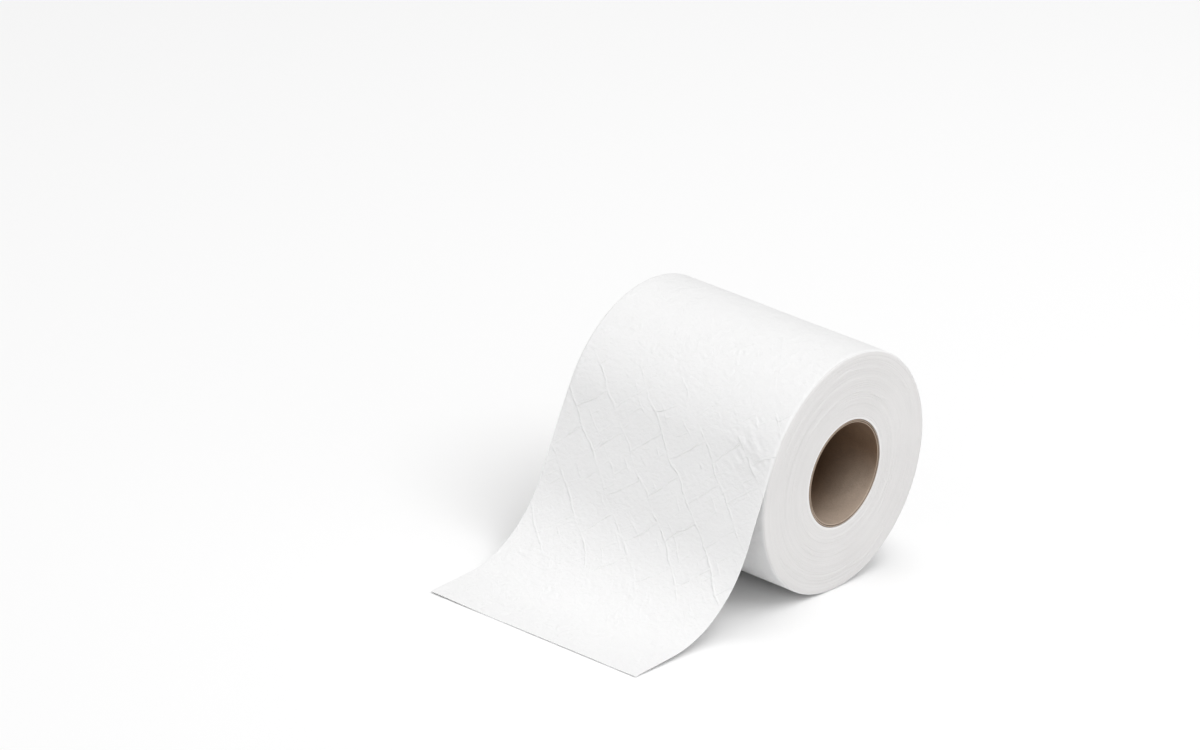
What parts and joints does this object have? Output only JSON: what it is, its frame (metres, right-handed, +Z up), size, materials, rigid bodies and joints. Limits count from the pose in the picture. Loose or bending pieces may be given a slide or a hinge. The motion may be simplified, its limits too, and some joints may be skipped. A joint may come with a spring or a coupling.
{
  "type": "toilet paper roll",
  "caption": "Roll of embossed white bathroom tissue on a cardboard core, lying on its side with its last sheet pulled off and laid flat.",
  "frame": {"origin": "on the table, under the axis of the roll and half way along it, at the middle of the flat stripe it rests on", "axes": "+X the way the loose sheet points, +Y along the axis of the core, +Z up"},
  "size_m": [0.1687, 0.1, 0.0976],
  "materials": {
    "tissue": "matte, soft embossed two-ply tissue",
    "core_board": "matte grey-brown recycled board"
  },
  "bodies": {
    "root": {"paper_web": "tissue", "core_tube": "core_board"}
  },
  "joints": []
}
